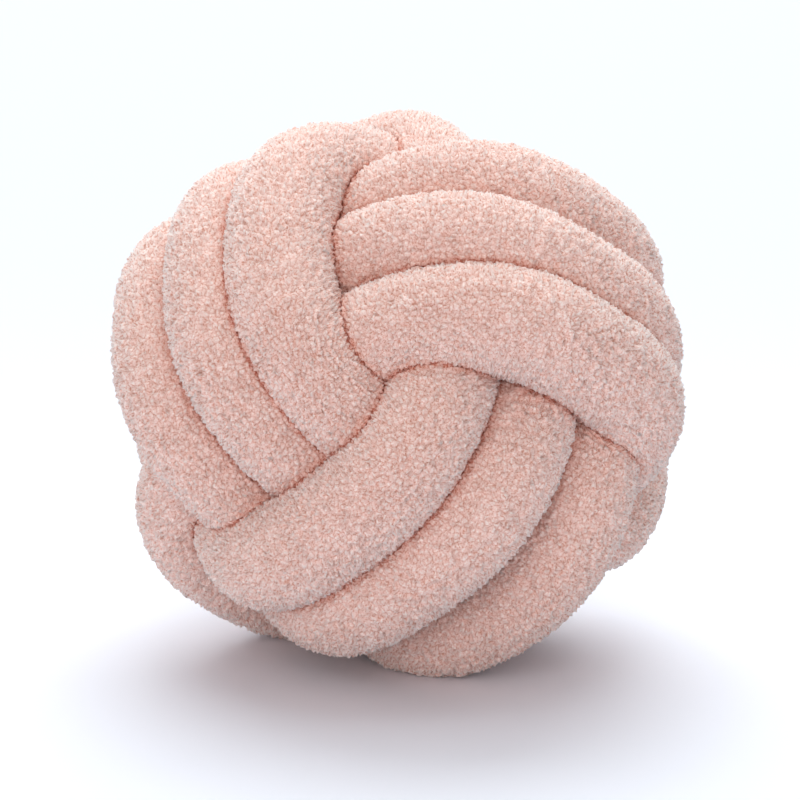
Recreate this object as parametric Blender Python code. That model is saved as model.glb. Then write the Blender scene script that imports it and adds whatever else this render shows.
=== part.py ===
"""Knot cushion, 30 cm across: one long tube of teddy cloth, stuffed, closed at both ends and wound into a ball.

The tube makes a monkey's fist: three turns in each of three directions. A set of three turns is a band.
Each band passes over one neighbouring band and under the other, so no turn can slip off. The two closed
ends are coiled up in the middle of the ball, where nobody sees them.

Frame: metres, +Z up. The ball rests on z = 0 on a small flat spot, its front faces -Y, and the origin
is on the floor under the middle of the ball.
"""
import math

import bpy
import numpy as np
from mathutils import Euler

for old in list(bpy.data.objects):
    bpy.data.objects.remove(old, do_unlink=True)

MM = 0.001

# Driving sizes, in millimetres unless the comment says otherwise.
TUBE_RADIUS = 27.5      # the stuffed tube where nothing presses on it
SKIN_GAP = 0.6          # each strand's skin stays this far from the surface midway to its neighbour
LOOP_POWER = 2.75       # exponent of a turn's outline: 2 is an ellipse, more is boxier
WAIST_MIDDLE = 83       # half height of a band's middle turn where the next band crosses over it
WAIST_OUTER = 80        # the same for the two outer turns
WAIST_PITCH = 42        # from one turn to the next at their waists, where the band is drawn together
CROWN_POWER = 4         # how soon a band narrows away from its crown
PASSING = 0.13          # share of a turn, each side of a waist, in which the tube moves on to its next place
BAND_END = 0.07         # share of a turn left out at each end of a band, where the tube dips into the core
COIL_RADIUS = 31        # the tucked-in ends lie as two short coils in the core, one above the other
COIL_HEIGHT = 24        # of the upper coil above the ball's middle, and of the lower one below it
FIRST_COIL = (410, 150) # degrees around the core at which the first end's coil starts and stops
LAST_COIL = (73, -170)  # the same for the last end's coil
BRIDGE_PULLS = (0.9, 1.1, 1.1, 1.0)  # stiffness of the four runs that join coils and bands
MIDDLE = (3, 1, 136)    # the knot's middle in the object's frame, low enough to press the ball flat by 5

SIDES = 12              # facets around the tube
STEP = 13.4             # facets along the tube
FINE_STEP = 3           # spacing of the centreline points that press on a strand
OWN_REACH = 70          # a strand isn't pressed by its own length nearer than this
PRESS_SHARPNESS = 8     # how crisp the edge is where a pressed side meets a free one
BEND_LIMIT = 0.85       # share of the bend's own radius that the inside of a bend may fill
END_INSET = 3           # the tube's round ends start this far before the first ring

# How the knot lies, in degrees. It starts with its corner, where the three bands meet, facing the front
# and the first band on the left. Then it is turned sideways, rolled and tipped, in that order.
TIP, ROLL, TURN = -15.6, 29.2, -1.3

# The nine turns, in the order in which the tube makes them. Every size is in millimetres in the band's own
# frame. place is -1, 0 or 1 across the band. reach is how far the turn's front crown stands out, and stack is
# where that crown lies across the band. back_reach and back_stack say the same of its back crown. lean
# (degrees) turns the loop in its plane, and skew sets its two waists apart.
TURNS = [
    # band, place, reach, stack, back_reach, back_stack, lean, skew
    (0, 1, 121, 39, 113, 44, 1, -6),
    (0, 0, 127, 1, 120, 0, 1, 2),
    (0, -1, 121, -46, 115, -47, 1, 0),
    (1, 1, 116, 49, 113, 44, 1, 2),
    (1, 0, 123, 4, 122, -2, 4, -5),
    (1, -1, 109, -60, 115, -46, 9, -4),
    (2, -1, 114, -43, 117, -46, -2, 10),
    (2, 0, 126, 12, 122, -2, 2, 1),
    (2, 1, 124, 50, 117, 52, -1, 7),
]
# Where a band's first turn starts, in degrees around the loop from its front crown, and which way it runs.
BAND_START = [90, 270, 270]
BAND_SENSE = [-1, -1, 1]


def ease(x):
    """A step from 0 to 1 over 0 < x < 1 that starts and ends softly."""
    x = np.clip(x, 0, 1)
    return x ** 3 * (x * (6 * x - 15) + 10)


def turn_points(turn, angle):
    """Points of one turn at these angles around its loop, in the knot's frame."""
    band, place, reach, stack, back_reach, back_stack, lean, skew = turn
    waist = WAIST_OUTER if place else WAIST_MIDDLE
    along, up = np.cos(angle), np.sin(angle)
    long_half = np.where(along > 0, reach, back_reach)
    radius = (np.abs(along / long_half) ** LOOP_POWER + np.abs(up / waist) ** LOOP_POWER) ** (-1 / LOOP_POWER)
    tilted = angle + math.radians(lean)
    crown = np.where(along > 0, stack, back_stack)
    drawn_in = place * WAIST_PITCH
    points = np.zeros((len(angle), 3))
    points[:, band] = radius * np.cos(tilted)
    points[:, (band + 1) % 3] = radius * np.sin(tilted)
    points[:, (band + 2) % 3] = drawn_in + (crown - drawn_in) * along ** CROWN_POWER + skew * up
    return points


def band_points(band):
    """The three turns of one band as one run of points, each turn eased into the next at a hidden waist."""
    turns = [turn for turn in TURNS if turn[0] == band]
    turned = np.linspace(BAND_END, len(turns) - BAND_END, 360 * len(turns))
    angle = np.radians(BAND_START[band] + BAND_SENSE[band] * 360 * turned)
    points = np.zeros((len(turned), 3))
    for number, turn in enumerate(turns):
        share = np.ones(len(turned))
        if number > 0:
            share *= ease((turned - number + PASSING) / (2 * PASSING))
        if number < len(turns) - 1:
            share *= 1 - ease((turned - number - 1 + PASSING) / (2 * PASSING))
        points += share[:, None] * turn_points(turn, angle)
    return points


def coil_points(height, first_degrees, last_degrees):
    """A tucked-in end: part of a ring in the core, from one angle around the knot's third axis to another."""
    angle = np.radians(np.linspace(first_degrees, last_degrees, 120))
    return np.stack([COIL_RADIUS * np.cos(angle), COIL_RADIUS * np.sin(angle), np.full(len(angle), height)], axis=1)


def bridge(before, after, pull):
    """A smooth run from the end of one stretch to the start of the next. pull is its stiffness at both ends."""
    start, end = before[-1], after[0]
    span = np.linalg.norm(end - start)
    leave = (start - before[-2]) / np.linalg.norm(start - before[-2]) * span * pull
    arrive = (after[1] - end) / np.linalg.norm(after[1] - end) * span * pull
    t = np.linspace(0, 1, 42)[1:-1, None]
    rise = t * t * (3 - 2 * t)
    return start * (1 - rise) + end * rise + leave * t * (1 - t) ** 2 - arrive * t * t * (1 - t)


def resample(points, spacing):
    """The same line with evenly spaced points about spacing apart, and each one's distance from the start."""
    walked = np.concatenate([[0], np.cumsum(np.linalg.norm(np.diff(points, axis=0), axis=1))])
    distance = np.linspace(0, walked[-1], int(round(walked[-1] / spacing)) + 1)
    return np.stack([np.interp(distance, walked, points[:, axis]) for axis in range(3)], axis=1), distance


def tube_line():
    """The centreline of the whole tube, end to end, closely sampled."""
    bands = [band_points(band) for band in range(3)]
    line = [coil_points(COIL_HEIGHT, *FIRST_COIL)]
    for stretch, pull in zip([*bands, coil_points(-COIL_HEIGHT, *LAST_COIL)], BRIDGE_PULLS):
        line += [bridge(line[-1], stretch, pull), stretch]
    return np.concatenate(line)


def knot_rotation():
    """The rotation from the knot's frame to the object's frame."""
    corner = np.full(3, 3 ** -0.5)
    first_band = np.array([1.0, 0, 0])
    left = first_band - corner * (first_band @ corner)
    left /= np.linalg.norm(left)
    facing = np.stack([-left, -corner, np.cross(corner, -left)])
    laid = Euler([math.radians(angle) for angle in (TIP, ROLL, TURN)], "ZYX").to_matrix()
    return np.array(laid) @ facing


def along_line(line):
    """For each point of a line: the way it runs, a side direction that never twists, and how it bends."""
    runs = np.gradient(line, axis=0)
    length = np.linalg.norm(runs, axis=1)[:, None]
    runs = runs / length
    bends = np.gradient(runs, axis=0) / length
    side = np.cross(runs[0], [0, 0, 1])
    sides = []
    for way in runs:
        side = side - way * (side @ way)
        side = side / np.linalg.norm(side)
        sides.append(side)
    return runs, np.array(sides), bends


def tube_sections():
    """The tube's cross-sections, one ring of SIDES points at each step, and its two end points, in the knot's frame.

    Every point lies where the free tube would have it, unless another strand presses there: then it
    lies on the surface midway between the two centrelines, less SKIN_GAP.
    """
    presses, pressed_at = resample(tube_line(), FINE_STEP)
    line, distance = resample(tube_line(), STEP)
    runs, sides, bends = along_line(line)
    around = np.linspace(0, 2 * math.pi, SIDES, endpoint=False)
    rings = []
    for centre, at, run, side, bend in zip(line, distance, runs, sides, bends):
        ways = np.outer(np.cos(around), side) + np.outer(np.sin(around), np.cross(run, side))
        others = presses[np.abs(pressed_at - at) > OWN_REACH] - centre
        toward = ways @ others.T
        midway = (others ** 2).sum(axis=1) / (2 * np.maximum(toward, 1e-3))
        room = np.where(toward > 1e-3, midway, np.inf).min(axis=1) - SKIN_GAP
        bend_room = BEND_LIMIT / np.maximum(ways @ bend, 1e-6)
        end_distance = min(at, distance[-1] - at) + END_INSET
        end_room = TUBE_RADIUS * math.sqrt(1 - max(0, 1 - end_distance / TUBE_RADIUS) ** 2)
        limits = np.stack([room, bend_room, np.full(SIDES, end_room)])
        radius = (limits ** -PRESS_SHARPNESS).sum(axis=0) ** (-1 / PRESS_SHARPNESS)
        rings.append(centre + ways * radius[:, None])
    return np.array(rings), line[0] - runs[0] * END_INSET, line[-1] + runs[-1] * END_INSET


def placed(points):
    """Points from the knot's frame in millimetres to the object's frame in metres, pressed flat at the floor."""
    moved = points @ knot_rotation().T + MIDDLE
    moved[:, 2] = np.maximum(moved[:, 2], 0)
    return moved * MM


def teddy_cloth():
    """Pale pink boucle, matt all over."""
    material = bpy.data.materials.new("pink_teddy_cloth")
    material.use_nodes = True
    shader = material.node_tree.nodes["Principled BSDF"]
    shader.inputs["Base Color"].default_value = (0.72, 0.47, 0.41, 1)
    shader.inputs["Roughness"].default_value = 0.95
    shader.inputs["Metallic"].default_value = 0
    return material


def stuffed_tube():
    """The one sewn, stuffed tube as a closed mesh: rings of points, joined by quads, with a point at each end."""
    rings, first_end, last_end = tube_sections()
    count = len(rings)
    points = np.concatenate([rings.reshape(-1, 3), first_end[None], last_end[None]])
    faces = []
    for ring in range(count - 1):
        for side in range(SIDES):
            here, beside = ring * SIDES + side, ring * SIDES + (side + 1) % SIDES
            faces.append((here, beside, beside + SIDES, here + SIDES))
    last = (count - 1) * SIDES
    for side in range(SIDES):
        beside = (side + 1) % SIDES
        faces.append((count * SIDES, beside, side))
        faces.append((count * SIDES + 1, last + side, last + beside))
    mesh = bpy.data.meshes.new("stuffed_tube")
    mesh.from_pydata(placed(points).tolist(), [], faces)
    mesh.materials.append(teddy_cloth())
    mesh.shade_smooth()
    cushion = bpy.data.objects.new("stuffed_tube", mesh)
    bpy.context.scene.collection.objects.link(cushion)


stuffed_tube()
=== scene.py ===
# %% [markdown]
# # A knot cushion in teddy cloth
#
# The real thing is one long tube of curly teddy cloth, stuffed and wound into a ball about 30 cm across:
# three turns one way, three turns around those, and three more around both. Sailors call it a monkey's fist.
# A plain solid of that ball is loaded first. The cells below dress it with a fine skin and real curls.

import math

import bpy
import numpy as np
from mathutils import Euler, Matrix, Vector


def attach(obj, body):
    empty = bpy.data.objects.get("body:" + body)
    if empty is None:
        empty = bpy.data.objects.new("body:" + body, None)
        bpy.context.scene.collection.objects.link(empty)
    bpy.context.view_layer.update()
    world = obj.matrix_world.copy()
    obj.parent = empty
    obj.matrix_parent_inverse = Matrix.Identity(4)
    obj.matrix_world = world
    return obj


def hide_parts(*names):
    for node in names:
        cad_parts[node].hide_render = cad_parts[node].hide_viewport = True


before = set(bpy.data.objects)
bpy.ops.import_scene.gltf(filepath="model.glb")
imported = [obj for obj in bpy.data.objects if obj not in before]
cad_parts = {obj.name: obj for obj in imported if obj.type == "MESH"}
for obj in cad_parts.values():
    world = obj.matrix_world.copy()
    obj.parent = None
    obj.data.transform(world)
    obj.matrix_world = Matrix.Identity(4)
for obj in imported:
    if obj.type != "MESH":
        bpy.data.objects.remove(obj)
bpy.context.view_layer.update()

# %% [markdown]
# ## The camera
#
# The ball is seen from the front and a little above, from far enough away that it hardly shows perspective.
# A long lens does the same here: the lens follows from the distance and from how much the picture takes in
# at the ball, so that either can be changed alone.

# %% Camera
KNOT_MIDDLE = Vector((0.003, 0.001, 0.136))  # where the bands cross in the plain solid, in metres
EYE_ABOVE = math.radians(11)
EYE_DISTANCE = 1.8
HALF_VIEW = 0.2072                        # metres: half of what the picture takes in, at the ball
AIM_RIGHT, AIM_UP = -0.0013, -0.0039      # the ball sits a little above the picture's middle
SENSOR = 36

to_eye = Vector((0, -math.cos(EYE_ABOVE), math.sin(EYE_ABOVE)))
picture_up = Vector((0, math.sin(EYE_ABOVE), math.cos(EYE_ABOVE)))
lens = bpy.data.cameras.new("studio_camera")
lens.sensor_width = SENSOR
lens.lens = SENSOR / 2 * EYE_DISTANCE / HALF_VIEW
camera = bpy.data.objects.new("studio_camera", lens)
camera.location = KNOT_MIDDLE + Vector((AIM_RIGHT, 0, 0)) + picture_up * AIM_UP + to_eye * EYE_DISTANCE
camera.rotation_euler = (math.pi / 2 - EYE_ABOVE, 0, 0)
bpy.context.scene.collection.objects.link(camera)
bpy.context.scene.camera = camera
print("lens", round(lens.lens, 1), "mm")

# %% [markdown]
# ## The winding
#
# The whole shape follows from the line down the middle of the tube. Each of its nine turns is a rounded loop.
# The loops could be drawn by hand as curves, but a loop has only a few sizes that matter: how far it stands
# out, how high it is at its waist, where it lies across its band, and how it leans. With those in a table the
# turns stay even, as a hand that winds the tube keeps them, and the small differences of the real ball show.
# All of this is in millimetres around the knot's middle, and is the winding of the plain solid.

# %% Sizes of the winding
TUBE_RADIUS = 27.5
LOOP_POWER = 2.75                         # exponent of a turn's outline: 2 is an ellipse, more is boxier
WAIST_MIDDLE, WAIST_OUTER = 83, 80        # half heights of a band's middle turn and its outer turns
WAIST_PITCH = 42                          # from turn to turn at the waists
CROWN_POWER = 4                           # how soon a band narrows away from its crown

# place is -1, 0 or 1 across the band. reach is how far a turn's front crown stands out, and stack is where
# that crown lies across the band. back_reach and back_stack say the same of its back crown. lean turns the
# loop in its plane, in degrees, and skew sets its two waists apart.
TURNS = [
    # band, place, reach, stack, back_reach, back_stack, lean, skew
    (0, 1, 121, 39, 113, 44, 1, -6),
    (0, 0, 127, 1, 120, 0, 1, 2),
    (0, -1, 121, -46, 115, -47, 1, 0),
    (1, 1, 116, 49, 113, 44, 1, 2),
    (1, 0, 123, 4, 122, -2, 4, -5),
    (1, -1, 109, -60, 115, -46, 9, -4),
    (2, -1, 114, -43, 117, -46, -2, 10),
    (2, 0, 126, 12, 122, -2, 2, 1),
    (2, 1, 124, 50, 117, 52, -1, 7),
]
print(len(TURNS), "turns of a tube", 2 * TUBE_RADIUS, "mm across")


# %% One turn
def turn_points(turn, angle):
    """Points of one turn at these angles around its loop."""
    band, place, reach, stack, back_reach, back_stack, lean, skew = turn
    waist = WAIST_OUTER if place else WAIST_MIDDLE
    along, up = np.cos(angle), np.sin(angle)
    long_half = np.where(along > 0, reach, back_reach)
    radius = (np.abs(along / long_half) ** LOOP_POWER + np.abs(up / waist) ** LOOP_POWER) ** (-1 / LOOP_POWER)
    tilted = angle + math.radians(lean)
    crown = np.where(along > 0, stack, back_stack)
    drawn_in = place * WAIST_PITCH
    points = np.zeros((len(angle), 3))
    points[:, band] = radius * np.cos(tilted)
    points[:, (band + 1) % 3] = radius * np.sin(tilted)
    points[:, (band + 2) % 3] = drawn_in + (crown - drawn_in) * along ** CROWN_POWER + skew * up
    return points


# %% One band of three turns
PASSING = 0.13                            # share of a turn, each side of a waist, in which the tube moves on
BAND_END = 0.07                           # share of a turn left out where a band ends in the core
BAND_START = [90, 270, 270]               # where a band's first turn starts, in degrees around the loop
BAND_SENSE = [-1, -1, 1]                  # which way around it runs
TURN_POINTS = 360


def ease(x):
    """A step from 0 to 1 over 0 < x < 1 that starts and ends softly."""
    x = np.clip(x, 0, 1)
    return x ** 3 * (x * (6 * x - 15) + 10)


def band_points(band):
    """A band's three turns as one run, each eased into the next at a hidden waist, and each point's turn."""
    turns = [turn for turn in TURNS if turn[0] == band]
    turned = np.linspace(BAND_END, len(turns) - BAND_END, TURN_POINTS * len(turns))
    angle = np.radians(BAND_START[band] + BAND_SENSE[band] * 360 * turned)
    points = np.zeros((len(turned), 3))
    for number, turn in enumerate(turns):
        share = np.ones(len(turned))
        if number > 0:
            share *= ease((turned - number + PASSING) / (2 * PASSING))
        if number < len(turns) - 1:
            share *= 1 - ease((turned - number - 1 + PASSING) / (2 * PASSING))
        points += share[:, None] * turn_points(turn, angle)
    return points, len(turns) * band + np.floor(turned).astype(int)


# %% The whole line, end to end
COIL_RADIUS, COIL_HEIGHT = 31, 24         # the two ends are coiled up in the core
FIRST_COIL = (410, 150)                   # degrees around the core at which the first coil starts and stops
LAST_COIL = (73, -170)                    # the same for the last coil
BRIDGE_PULLS = (0.9, 1.1, 1.1, 1.0)       # stiffness of the runs that join coils and bands
COIL_POINTS, BRIDGE_POINTS = 120, 40


def coil_points(height, first_degrees, last_degrees):
    """A tucked-in end: part of a ring in the core."""
    angle = np.radians(np.linspace(first_degrees, last_degrees, COIL_POINTS))
    ring = [COIL_RADIUS * np.cos(angle), COIL_RADIUS * np.sin(angle), np.full(len(angle), height)]
    return np.stack(ring, axis=1)


def bridge(before, after, pull):
    """A smooth run from the end of one stretch to the start of the next."""
    start, end = before[-1], after[0]
    span = np.linalg.norm(end - start)
    leave = (start - before[-2]) / np.linalg.norm(start - before[-2]) * span * pull
    arrive = (after[1] - end) / np.linalg.norm(after[1] - end) * span * pull
    t = np.linspace(0, 1, BRIDGE_POINTS + 2)[1:-1, None]
    rise = t * t * (3 - 2 * t)
    return start * (1 - rise) + end * rise + leave * t * (1 - t) ** 2 - arrive * t * t * (1 - t)


def tube_line():
    """The centreline of the whole tube, and for each point the number of the turn that it belongs to."""
    line, turn_of = [coil_points(COIL_HEIGHT, *FIRST_COIL)], [0]
    last_end = (coil_points(-COIL_HEIGHT, *LAST_COIL), len(TURNS) - 1)
    stretches = [*[band_points(band) for band in range(3)], last_end]
    for (stretch, turns), pull in zip(stretches, BRIDGE_PULLS):
        line += [bridge(line[-1], stretch, pull), stretch]
        turn_of += [np.min(turns), turns]
    counted = [np.broadcast_to(turns, len(stretch)) for turns, stretch in zip(turn_of, line)]
    return np.concatenate(line), np.concatenate(counted)


def distances_along(points):
    """How far each point lies from the first one, along the points."""
    return np.concatenate([[0], np.cumsum(np.linalg.norm(np.diff(points, axis=0), axis=1))])


def at_distance(values, walked, distance):
    """Rows of values that are known where the line was walked, at other distances along it."""
    return np.stack([np.interp(distance, walked, column) for column in values.T], axis=1)


wound, turn_numbers = tube_line()
walked = distances_along(wound)
TUBE_LENGTH = walked[-1]
turn_starts = [0] + [walked[turn_numbers >= turn][0] for turn in range(1, len(TURNS))] + [TUBE_LENGTH]
print("tube", round(TUBE_LENGTH), "mm long, turns start at", [round(start) for start in turn_starts[:-1]])

# %% [markdown]
# ## Which way the skin looks
#
# Around each point of the line the skin is described by an angle and a distance. The angle is counted from
# the side that faces out of the ball, so the seam where the grid closes always lies hidden inside. A frame
# that is carried along without twisting gives steady directions, and the outward angle is smoothed on top.

# %% Directions along the line
FINE_STEP = 1.0
EVEN_OUT, EVEN_BENDS = 12, 6              # mm over which outward directions and bends are smoothed
BELL_REACH = 3                            # a smoothing window reaches this many times its width each way


def smoothed(values, width):
    """Values softened over this many rows by a bell-shaped window, along the first axis."""
    reach = int(BELL_REACH * width)
    window = np.exp(-0.5 * (np.arange(-reach, reach + 1) / width) ** 2)
    padded = np.pad(values, [(reach, reach), (0, 0)], mode="edge")
    return np.stack([np.convolve(column, window / window.sum(), "valid") for column in padded.T], axis=1)


fine_at = np.linspace(0, TUBE_LENGTH, int(TUBE_LENGTH / FINE_STEP) + 1)
fine_line = at_distance(wound, walked, fine_at)
fine_runs = np.gradient(fine_line, fine_at, axis=0)
fine_runs /= np.linalg.norm(fine_runs, axis=1)[:, None]
fine_bends = smoothed(np.gradient(fine_runs, fine_at, axis=0), EVEN_BENDS / FINE_STEP)

side = np.cross(fine_runs[0], [0, 0, 1])
fine_sides = []
for way in fine_runs:
    side = side - way * (side @ way)
    side = side / np.linalg.norm(side)
    fine_sides.append(side)
fine_sides = np.array(fine_sides)
fine_ups = np.cross(fine_runs, fine_sides)
outward = np.arctan2((fine_line * fine_ups).sum(1), (fine_line * fine_sides).sum(1))
outward = smoothed(np.unwrap(outward)[:, None], EVEN_OUT / FINE_STEP)
outer_sides = np.cos(outward) * fine_sides + np.sin(outward) * fine_ups
cloth_at = distances_along(fine_line + outer_sides * TUBE_RADIUS)
print("cloth", round(cloth_at[-1]), "mm long on the outside of its bends")

# %% [markdown]
# ## Strands press on one another
#
# A free stretch of the tube is round. Where two stretches meet, neither gives way more than the other, so
# both flatten against the surface midway between their two lines. That can be worked out directly, point by
# point, without letting a cloth simulation find the same rest shape. The pile of one strand sinks a little
# into the next one's, so both go a millimetre past the midway surface, and no slit stays open between them.
# A soft minimum rounds the edge where a pressed side meets the free one, and there the pile swells into the
# groove.

# %% Radius of the pressed tube
PILE_OVERLAP = 1.2                        # mm by which two strands' pile sinks into each other's
PRESS_STEP = 3                            # mm between the points that press
PRESS_REACH = 100                         # farther strands don't press
OWN_REACH = 70                            # nor does a strand's own length nearer than this
PRESS_SHARPNESS = 16
NESTLE, NESTLE_OVER = 1.0, 3              # mm by which pile fills a groove's mouth, and how soon that fades
BEND_LIMIT = 0.85                         # share of a bend's radius that its inside may fill
END_INSET = 3                             # the round ends start this far before the first ring
LEAST_TOWARD, LEAST_BEND = 1e-3, 1e-6     # keep two divisions away from zero

pressing_at = np.linspace(0, TUBE_LENGTH, int(TUBE_LENGTH / PRESS_STEP) + 1)
pressing = at_distance(wound, walked, pressing_at)
print("points that press:", len(pressing))


def skin(at, angles):
    """Points of the pressed skin, their radii and how far they stay clear of the next strand.

    There is a row for each distance along the tube, with a point for each angle of its row of angles.
    """
    centres = at_distance(fine_line, fine_at, at)
    runs = at_distance(fine_runs, fine_at, at)
    sides = at_distance(fine_sides, fine_at, at)
    bends = at_distance(fine_bends, fine_at, at)
    points, radii, clear = [], [], []
    for distance, centre, run, side, bend, row in zip(at, centres, runs, sides, bends, angles):
        ways = np.outer(np.cos(row), side) + np.outer(np.sin(row), np.cross(run, side))
        others = pressing - centre
        apart = (others ** 2).sum(axis=1)
        near = (np.abs(pressing_at - distance) > OWN_REACH) & (apart < PRESS_REACH ** 2)
        toward = ways @ others[near].T
        midway = apart[near] / (2 * np.maximum(toward, LEAST_TOWARD))
        room = midway.min(axis=1, initial=PRESS_REACH) + PILE_OVERLAP
        bend_room = BEND_LIMIT / np.maximum(ways @ bend, LEAST_BEND)
        from_end = min(distance, TUBE_LENGTH - distance) + END_INSET
        end_room = TUBE_RADIUS * math.sqrt(1 - max(0, 1 - from_end / TUBE_RADIUS) ** 2)
        nestled = end_room + NESTLE * np.exp(-((room - TUBE_RADIUS) / NESTLE_OVER) ** 2)
        limits = np.stack([room, bend_room, nestled])
        radius = (limits ** -PRESS_SHARPNESS).sum(axis=0) ** (-1 / PRESS_SHARPNESS)
        points.append(centre + ways * radius[:, None])
        radii.append(radius)
        clear.append(room - radius)
    return np.array(points), np.array(radii), np.array(clear)


# %% [markdown]
# ## Where the grid is fine
#
# Curls need a vertex for each millimetre, but only on the skin that shows. An even grid that fine would have
# about two million triangles. So a first, rough pass finds how free and how far out each spot is, and the
# fine grid then puts its rows and columns where that is high. The ball stays under a million triangles.

# %% Rough pass
ROUGH_STEP, ROUGH_SIDES = 4, 60
FREE_FROM, FREE_OVER = 0.78, 0.15         # shares of the free radius: skin shows from here on, and over this
CORE_RADIUS, CORE_OVER = 88, 12           # mm: skin nearer the middle than this is never seen
SOFTEN = 1.5                              # rows and columns over which the shown share is smoothed

rough_at = np.linspace(0, TUBE_LENGTH, int(TUBE_LENGTH / ROUGH_STEP) + 1)
turned = np.linspace(-math.pi, math.pi, ROUGH_SIDES + 1)
rough_angles = np.interp(rough_at, fine_at, outward[:, 0])[:, None] + turned
rough_points, rough_radii, _ = skin(rough_at, rough_angles)
shown = np.clip((rough_radii / TUBE_RADIUS - FREE_FROM) / FREE_OVER, 0, 1)
shown *= np.clip((np.linalg.norm(rough_points, axis=2) - CORE_RADIUS) / CORE_OVER, 0, 1)
shown = smoothed(smoothed(shown, SOFTEN).T, SOFTEN).T
print("shown share of the skin:", round(float(shown.mean()), 2))

# %% Fine rows and columns
ROW_STEP, WIDEST_STEP = 1.1, 5            # mm between rows where the skin shows, and where it doesn't
COLUMNS = 96
HIDDEN_SHARE = 0.1                        # how fine the hidden skin's grid is, next to the shown skin's

most_shown = HIDDEN_SHARE + (1 - HIDDEN_SHARE) * shown.max(axis=1)
row_step = np.clip(ROW_STEP / most_shown, ROW_STEP, WIDEST_STEP)
rows_passed = np.concatenate([[0], np.cumsum(ROUGH_STEP / ((row_step[1:] + row_step[:-1]) / 2))])
fineness = (HIDDEN_SHARE + (1 - HIDDEN_SHARE) * shown) * rough_radii
columns_passed = np.pad((fineness[:, 1:] + fineness[:, :-1]).cumsum(axis=1), [(0, 0), (1, 0)])
columns_passed /= columns_passed[:, -1:]
column_shares = np.linspace(0, 1, COLUMNS + 1)[:-1]
column_turns = np.array([np.interp(column_shares, passed, turned) for passed in columns_passed])
print("rows", round(rows_passed[-1]), "vertices", round(rows_passed[-1]) * COLUMNS)

# %% [markdown]
# ## The smooth skin, one piece for each turn
#
# The cloth is one tube, but a mesh that fine is easier to handle in nine parts. The cuts lie at the hidden
# waists, where one turn passes into the next under another band, and each part is closed with a cap there.
# The rows and columns of a part also make an easy flat map of it, so no unwrapping tool is needed.

# %% Rows and faces of a turn
CUT_INSET = 0.2                           # mm from a cap to the cut, so that caps don't share a surface


def rows_between(start, end):
    """Distances along the tube of a turn's rows: close where the skin shows, wide where it doesn't."""
    first, last = np.interp([start + CUT_INSET, end - CUT_INSET], rough_at, rows_passed)
    steps = np.linspace(first, last, int(last - first) + 2)
    return np.interp(steps, rows_passed, rough_at)


def tube_faces(rows):
    """The quads between this many rows, and a fan of triangles to each of the two end points."""
    row, column = np.mgrid[:rows - 1, :COLUMNS]
    here, beside = row * COLUMNS + column, row * COLUMNS + (column + 1) % COLUMNS
    quads = np.stack([here, beside, beside + COLUMNS, here + COLUMNS], axis=-1).reshape(-1, 4).tolist()
    first_end, last_end, last_row = rows * COLUMNS, rows * COLUMNS + 1, (rows - 1) * COLUMNS
    rim = [(place, (place + 1) % COLUMNS) for place in range(COLUMNS)]
    first_cap = [(first_end, after, before) for before, after in rim]
    last_cap = [(last_end, last_row + before, last_row + after) for before, after in rim]
    return quads + first_cap + last_cap


# %% A flat map of a turn
STRIPS, EDGE = 2, 0.01                    # the skin lies in two strips, inset by this share of one


def unroll(mesh, rows):
    """A map of the skin as straight strips, with more room for the rows and columns that show."""
    strip_rows = -(-(rows - 1) // STRIPS)
    row, column = np.mgrid[:rows - 1, :COLUMNS]
    strip, row = row // strip_rows, row % strip_rows
    along = (row[..., None] + [0, 0, 1, 1]) / strip_rows
    around = (column[..., None] + [0, 1, 1, 0]) / COLUMNS
    inside = 1 - 2 * EDGE
    grid = np.stack([EDGE + inside * along, (strip[..., None] + EDGE + inside * around) / STRIPS], axis=-1)
    corners = (np.arange(COLUMNS)[:, None] + [0.5, 1, 0]) / COLUMNS
    caps = []
    for edge, inner, strip_number in ((0, EDGE, 0), (1, 1 - EDGE, STRIPS - 1)):
        out_along = np.tile([edge, inner, inner], (COLUMNS, 1))
        caps.append(np.stack([out_along, (strip_number + corners) / STRIPS], axis=-1))
    layer = mesh.uv_layers.new(name="OFBake")
    layer.data.foreach_set("uv", np.concatenate([part.ravel() for part in (grid, *caps)]))


# %% [markdown]
# ## Notes on the skin
#
# The curls and the finish come later, and have to know two things of each vertex, so each keeps two notes.
# One is its place on the unrolled cloth in millimetres, so that the curls keep their size on every bend. The
# other is how clear it is of the next strand, so that the pile can sink where strands press and the grooves
# can be given painted shade.

# %% The nine smooth turns
TIP, ROLL, TURN = -15.6, 29.2, -1.3       # how the finished knot lies, in degrees
BAND_NAMES = ["left", "low", "right"]     # where each band lies on the ball's front
MM = 0.001


def knot_rotation():
    """The rotation from the knot's own frame to the way the ball lies."""
    corner = np.full(3, 3 ** -0.5)
    first_band = np.array([1.0, 0, 0])
    left = first_band - corner * (first_band @ corner)
    left /= np.linalg.norm(left)
    facing = np.stack([-left, -corner, np.cross(corner, -left)])
    laid = Euler([math.radians(angle) for angle in (TIP, ROLL, TURN)], "ZYX").to_matrix()
    return np.array(laid) @ facing


def note(mesh, name, kind, field, values):
    """Keeps a value for each vertex under this name, for the curls and the finish to read."""
    layer = mesh.attributes.new(name, kind, "POINT")
    layer.data.foreach_set(field, np.ascontiguousarray(values, np.float32).ravel())


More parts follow.
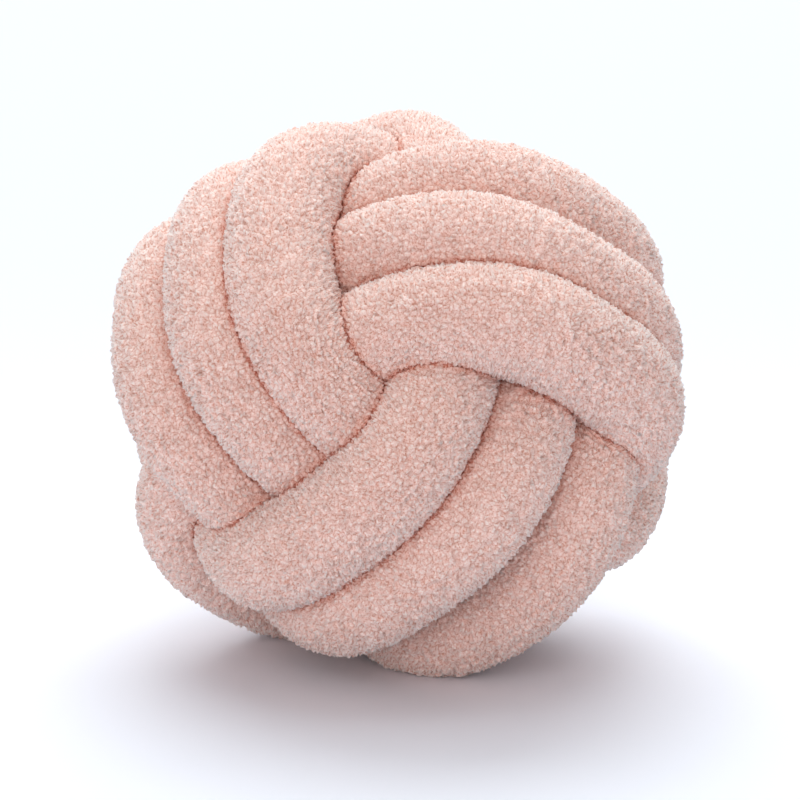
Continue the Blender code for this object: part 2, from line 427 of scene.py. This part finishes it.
def smooth_turn(number):
    """The stuffed skin of one turn, before its curls."""
    at = rows_between(turn_starts[number], turn_starts[number + 1])
    offsets = at_distance(column_turns, rough_at, at)
    points, _, clear = skin(at, np.interp(at, fine_at, outward[:, 0])[:, None] + offsets)
    rest = np.concatenate([points.reshape(-1, 3), points[[0, -1]].mean(axis=1)])
    laid = rest @ knot_rotation().T * MM + np.array(KNOT_MIDDLE)
    band, in_band = divmod(number, 3)
    name = f"{BAND_NAMES[band]}_turn_{in_band + 1}"
    mesh = bpy.data.meshes.new(name)
    mesh.from_pydata(laid.tolist(), [], tube_faces(len(at)))
    mesh.shade_smooth()
    places = np.zeros((len(at), COLUMNS, 3))
    places[..., 0] = np.interp(at, fine_at, cloth_at)[:, None]
    places[..., 1] = offsets * TUBE_RADIUS
    places = np.concatenate([places.reshape(-1, 3), places[[0, -1], 0]])
    note(mesh, "cloth", "FLOAT_VECTOR", "vector", places)
    note(mesh, "clear", "FLOAT", "value", np.append(clear.ravel(), [0, 0]))
    unroll(mesh, len(at))
    piece = bpy.data.objects.new(name, mesh)
    bpy.context.scene.collection.objects.link(piece)
    return piece


turns = [smooth_turn(number) for number in range(len(TURNS))]
print("faces of skin:", sum(len(piece.data.polygons) for piece in turns))

# %% [markdown]
# ## A way to write node trees
#
# The same few sums make the curls' shape and their colour, once in a geometry tree and once in a material. A
# small class lets them be written as ordinary expressions in both.

# %% Wires
class Wire:
    """The output of a node. Sums and products of wires add the nodes that work them out."""

    def __init__(self, tree, socket=None):
        self.tree = tree
        self.socket = socket

    def add(self, kind, settings=(), inputs=(), output=0):
        """Adds a node: its settings first, then the values or wires of its sockets. Gives a wire from it."""
        node = self.tree.nodes.new(kind)
        for name, value in dict(settings).items():
            setattr(node, name, value)
        for name, value in dict(inputs).items():
            if isinstance(value, Wire):
                self.tree.links.new(value.socket, node.inputs[name])
            else:
                node.inputs[name].default_value = value
        return None if output is None else Wire(self.tree, node.outputs[output])

    def maths(self, operation, first, second):
        """A Math node between numbers, or a Vector Math node as soon as a wire is a colour or a vector."""
        wires = [value for value in (first, second) if isinstance(value, Wire)]
        if all(wire.socket.type == "VALUE" for wire in wires):
            return self.add("ShaderNodeMath", {"operation": operation}, {0: first, 1: second})
        spread = [value if isinstance(value, (Wire, tuple)) else (value,) * 3 for value in (first, second)]
        return self.add("ShaderNodeVectorMath", {"operation": operation}, {0: spread[0], 1: spread[1]})

    def __add__(self, other):
        return self.maths("ADD", self, other)

    def __radd__(self, other):
        return self.maths("ADD", other, self)

    def __sub__(self, other):
        return self.maths("SUBTRACT", self, other)

    def __rsub__(self, other):
        return self.maths("SUBTRACT", other, self)

    def __mul__(self, other):
        return self.maths("MULTIPLY", self, other)

    def __rmul__(self, other):
        return self.maths("MULTIPLY", other, self)

    def rise(self, low, high):
        """0 below low, 1 above high, and a soft step between them."""
        return self.add("ShaderNodeMapRange", {"interpolation_type": "SMOOTHSTEP"},
                        {"Value": self, "From Min": low, "From Max": high})

    def noise(self, grain, detail=2, output="Fac"):
        """Cloudy noise with lumps this many millimetres across, where self is a place on the cloth."""
        return self.add("ShaderNodeTexNoise", (),
                        {"Vector": self, "Scale": 1 / grain, "Detail": detail}, output)

    def cells(self, size, feature, output="Distance"):
        """Irregular cells this many millimetres across on the cloth. A distance is counted in cells."""
        return self.add("ShaderNodeTexVoronoi", {"feature": feature, "voronoi_dimensions": "2D"},
                        {"Vector": self, "Scale": 1 / size}, output)


# %% [markdown]
# ## The curls
#
# Teddy cloth is a knitted back with loops of crimped yarn that felt together into little curls, 2 to 3 mm
# across, with thin gaps between them that lie in shade. Hair particles could draw each yarn, but the curls
# are what shows.
# They are the cells around random points on the unrolled cloth, bent by some noise so that no border stays
# straight. The distance to a cell's border makes each one a dome, and each has its own height. A finer
# pattern of the same kind inside them is the crimp of the yarn.

# %% Pattern of the curls
CURL_SIZE, CURL_EDGE = 2.8, 0.34          # mm across, and the share of a curl over which its side rises
WANDER, WANDER_GRAIN = 4.0, 2.1           # mm over which the gaps wander, and the grain of that
OWN_HEIGHT = 0.35                         # share of the height by which whole curls differ
CRIMP_SIZE, CRIMP = 1.4, 0.8              # the yarn's crimp inside a curl: mm across, and how high it stands
CRIMP_WANDER, CRIMP_GRAIN = 3, 1.2


def curl_height(place):
    """How high the pile stands at a place on the cloth, from 0 deep in the gaps to nearly 2 on the tips."""
    bent = place + (place.noise(WANDER_GRAIN, output="Color") - 0.5) * WANDER
    dome = bent.cells(CURL_SIZE, "DISTANCE_TO_EDGE").rise(0, CURL_EDGE)
    own = bent.cells(CURL_SIZE, "F1", "Color").add("ShaderNodeSeparateXYZ")
    bent_finely = place + (place.noise(CRIMP_GRAIN, 1, "Color") - 0.5) * CRIMP_WANDER
    wave = bent_finely.cells(CRIMP_SIZE, "DISTANCE_TO_EDGE").rise(0, CURL_EDGE)
    return dome * (own * OWN_HEIGHT + (1 - OWN_HEIGHT / 2)) + wave * CRIMP


# %% Curls as real relief
PILE = 2.0                                # mm of relief for a curl height of 1
PILE_MIDDLE = 0.9                         # the curl height that lies on the smooth skin
PRESSED_PILE = 0.5                        # share of the pile left where strands press on it
PRESSED_CLEAR = (0.6, 3)                  # mm clear of the next strand over which the pile stands up again
LUMPS, LUMP_GRAIN = 1.6, 38               # the stuffing's own unevenness in mm, and its size
NO_LOWER = (-1, -1, 0)                    # metres: holds nothing back sideways, and all of it at the floor


def curl_tree():
    """Geometry nodes that raise the curls from the smooth skin and flatten what would sink into the floor."""
    tree = bpy.data.node_groups.new("curls", "GeometryNodeTree")
    tree.interface.new_socket("Skin", in_out="INPUT", socket_type="NodeSocketGeometry")
    tree.interface.new_socket("Skin", in_out="OUTPUT", socket_type="NodeSocketGeometry")
    start = Wire(tree)
    smooth = start.add("NodeGroupInput")
    place = start.add("GeometryNodeInputNamedAttribute", {"data_type": "FLOAT_VECTOR"}, {"Name": "cloth"})
    clear = start.add("GeometryNodeInputNamedAttribute", {"data_type": "FLOAT"}, {"Name": "clear"})
    pile = (curl_height(place) - PILE_MIDDLE) * PILE
    pile = pile * (PRESSED_PILE + (1 - PRESSED_PILE) * clear.rise(*PRESSED_CLEAR))
    lumps = (place.noise(LUMP_GRAIN) - 0.5) * LUMPS
    raised = start.add("GeometryNodeInputNormal") * ((pile + lumps) * MM)
    curled = smooth.add("GeometryNodeSetPosition", (), {"Geometry": smooth, "Offset": raised})
    spot = curled.add("GeometryNodeInputPosition")
    above_floor = spot.add("ShaderNodeVectorMath", {"operation": "MAXIMUM"}, {0: spot, 1: NO_LOWER})
    resting = curled.add("GeometryNodeSetPosition", (), {"Geometry": curled, "Position": above_floor})
    resting.add("NodeGroupOutput", (), {"Skin": resting}, None)
    return tree


curls = curl_tree()
for piece in turns:
    piece.modifiers.new("curls", "NODES").node_group = curls
depsgraph = bpy.context.evaluated_depsgraph_get()
curled_meshes = [bpy.data.meshes.new_from_object(piece.evaluated_get(depsgraph), depsgraph=depsgraph)
                 for piece in turns]
for piece, mesh in zip(turns, curled_meshes):
    piece.modifiers.clear()
    piece.data = mesh
    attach(piece, "root")
    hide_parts("stuffed_tube")
print("curled", len(turns), "turns, curls", CURL_SIZE, "mm")

# %% [markdown]
# ## The finish
#
# The yarn is matt and pale pink. Its tips look paler where they scatter the light, and between the curls
# the light bounces from fibre to fibre and comes out a warmer, deeper red. Both are painted into the colour,
# which follows the same curls as the relief: painted shade in the gap, the yarn's own pink, and a painted
# highlight on the tip. In a groove and at the seam at its bottom the same shade falls on a larger scale, so
# the curls there are multiplied by a warm painted shade, and only high tips reach out of it. Loose fibres at
# the tips catch light that comes from the side, which a plain matt finish can't do. A second shader with
# sheen, mixed in on the tips alone, gives their pale rim and leaves the gaps deep.

# %% Colour of the curls
# Painted shade: the gaps between curls are darker and redder, standing in for the shade and the light bounced
# between fibres. Painted highlight: the tips are paler, standing in for the light that they scatter.
GAP_PAINTED_SHADE = (0.64, 0.31, 0.23, 1)
YARN_COLOUR = (0.86, 0.555, 0.482, 1)
TIP_PAINTED_HIGHLIGHT = (0.96, 0.79, 0.73, 1)
YARN_HEIGHTS, TIP_HEIGHTS = (0, 0.6), (0.9, 1.6)  # curl heights over which gap turns to yarn, and yarn to tip
CLEAR_TINT = (1, 1, 1, 1)
# Painted shade: grooves and the seams at their bottom are multiplied by these warm, darker colours, standing
# in for the shade and bounced light there.
GROOVE_PAINTED_SHADE = (0.92, 0.79, 0.74, 1)
SEAM_PAINTED_SHADE = (0.80, 0.54, 0.46, 1)
GROOVE_SHADE_REACH, SEAM_SHADE_REACH = (0, 8), (1.2, 4.5)     # mm clear of the next strand over which each tint fades
TIP_REACH = 2.2                           # mm that tips reach out of a seam into the light


def mixed(first, second, share):
    """From the first colour to the second, as share goes from 0 to 1."""
    return share.add("ShaderNodeMix", {"data_type": "RGBA"}, {0: share, 6: first, 7: second}, 2)


def curl_colour_with_painted_light(height, clear):
    """The yarn's colour at this curl height and this many millimetres clear of the next strand, with painted
    shade in the gaps, grooves and seams and a painted highlight on the tips.
    """
    colour = mixed(GAP_PAINTED_SHADE, YARN_COLOUR, height.rise(*YARN_HEIGHTS))
    colour = mixed(colour, TIP_PAINTED_HIGHLIGHT, height.rise(*TIP_HEIGHTS))
    colour = colour * mixed(GROOVE_PAINTED_SHADE, CLEAR_TINT, clear.rise(*GROOVE_SHADE_REACH))
    return colour * mixed(SEAM_PAINTED_SHADE, CLEAR_TINT, (clear + height * TIP_REACH).rise(*SEAM_SHADE_REACH))


# %% Teddy cloth
BUMP = 0.25                               # the relief is real, so the bump only sharpens it
FUZZ_HEIGHTS, FUZZ_CLEAR = (0, 0.9), (0.6, 5)     # loose fibres show on high curls and away from seams


def teddy_cloth():
    """Matt curls in the colours above, painted shade and highlight included, with sheen on their tips."""
    material = bpy.data.materials.new("curly_teddy_cloth")
    material.use_nodes = True
    tree = material.node_tree
    tree.nodes.clear()
    start = Wire(tree)
    place = start.add("ShaderNodeAttribute", {"attribute_name": "cloth"}, (), "Vector")
    clear = start.add("ShaderNodeAttribute", {"attribute_name": "clear"}, (), "Fac")
    height = curl_height(place)
    colour = curl_colour_with_painted_light(height, clear)
    bump_sockets = {"Height": height, "Strength": BUMP, "Distance": PILE * MM}
    bump = start.add("ShaderNodeBump", (), bump_sockets, "Normal")
    depth_sockets = {"Base Color": colour, "Normal": bump, "Roughness": 0.95, "Specular IOR Level": 0.1}
    tip_sockets = {"Sheen Weight": 1.0, "Sheen Roughness": 0.68, "Sheen Tint": (1, 0.96, 0.93, 1)}
    depths = start.add("ShaderNodeBsdfPrincipled", (), depth_sockets, "BSDF")
    tips = start.add("ShaderNodeBsdfPrincipled", (), depth_sockets | tip_sockets, "BSDF")
    tip_share = height.rise(*FUZZ_HEIGHTS) * clear.rise(*FUZZ_CLEAR)
    cloth = start.add("ShaderNodeMixShader", (), {0: tip_share, 1: depths, 2: tips}, "Shader")
    start.add("ShaderNodeOutputMaterial", (), {"Surface": cloth}, None)
    return material


cloth = teddy_cloth()
for piece in turns:
    piece.data.materials.clear()
    piece.data.materials.append(cloth)
print("nodes in the finish:", len(cloth.node_tree.nodes))

# %% [markdown]
# ## Floor and light
#
# A product photograph of this kind is made on a white table in a white tent. The light comes from everywhere,
# so a plain white world is the tent here. One lamp behind and above shines through the tent's cloth and makes
# the rims pale, and a weaker, warmer one in front fills the shade. As the cloth spreads them, each is a sun
# lamp that is 60 degrees wide. A softbox close above gives the tops their brightest light, which falls off
# towards the sides. Together they leave the soft shadow that comes towards the viewer.

# %% Floor
FLOOR_SIZE = 40
FLOOR_COLOUR = (0.835, 0.87, 0.945, 1)

half = FLOOR_SIZE / 2
floor_corners = [(-half, -half, 0), (half, -half, 0), (half, half, 0), (-half, half, 0)]
floor_mesh = bpy.data.meshes.new("floor")
floor_mesh.from_pydata(floor_corners, [], [(0, 1, 2, 3)])
floor = bpy.data.objects.new("floor", floor_mesh)
bpy.context.scene.collection.objects.link(floor)
paper = bpy.data.materials.new("white_paper")
paper.use_nodes = True
paper.node_tree.nodes["Principled BSDF"].inputs["Base Color"].default_value = FLOOR_COLOUR
paper.node_tree.nodes["Principled BSDF"].inputs["Roughness"].default_value = 0.8
floor_mesh.materials.append(paper)
print("floor", FLOOR_SIZE, "m wide")

# %% Light
TENT = 0.48
COOL, WARM, PAPER_WHITE = (0.94, 1, 1.02), (1.08, 0.98, 0.95), (1.01, 0.995, 1, 1)
SPREAD = math.radians(60)
BACK_FROM, BACK_LIGHT = (-0.05, 0.72, 0.69), 2.35
FRONT_FROM, FRONT_LIGHT = (-0.25, -0.93, 0.26), 1.05
BOX_PLACE, BOX_SIZE, BOX_WATTS = (0.05, 0, 0.8), 0.6, 2.1

world = bpy.data.worlds.new("white_tent")
world.use_nodes = True
world.node_tree.nodes["Background"].inputs["Color"].default_value = PAPER_WHITE
world.node_tree.nodes["Background"].inputs["Strength"].default_value = TENT
bpy.context.scene.world = world
bpy.context.scene.view_settings.view_transform = "Standard"


def add_light(name, way, strength, colour):
    """A wide, even light from this way."""
    lamp = bpy.data.lights.new(name, "SUN")
    lamp.energy = strength
    lamp.color = colour
    lamp.angle = SPREAD
    light = bpy.data.objects.new(name, lamp)
    light.location = way
    light.rotation_euler = Vector(way).to_track_quat("Z", "Y").to_euler()
    bpy.context.scene.collection.objects.link(light)


add_light("cloth_behind", BACK_FROM, BACK_LIGHT, COOL)
add_light("cloth_in_front", FRONT_FROM, FRONT_LIGHT, WARM)
softbox = bpy.data.lights.new("softbox_above", "AREA")
softbox.energy = BOX_WATTS
softbox.size = BOX_SIZE
softbox.color = COOL
softbox_light = bpy.data.objects.new("softbox_above", softbox)
softbox_light.location = BOX_PLACE
bpy.context.scene.collection.objects.link(softbox_light)
print("lamps:", [lamp.name for lamp in bpy.data.lights])
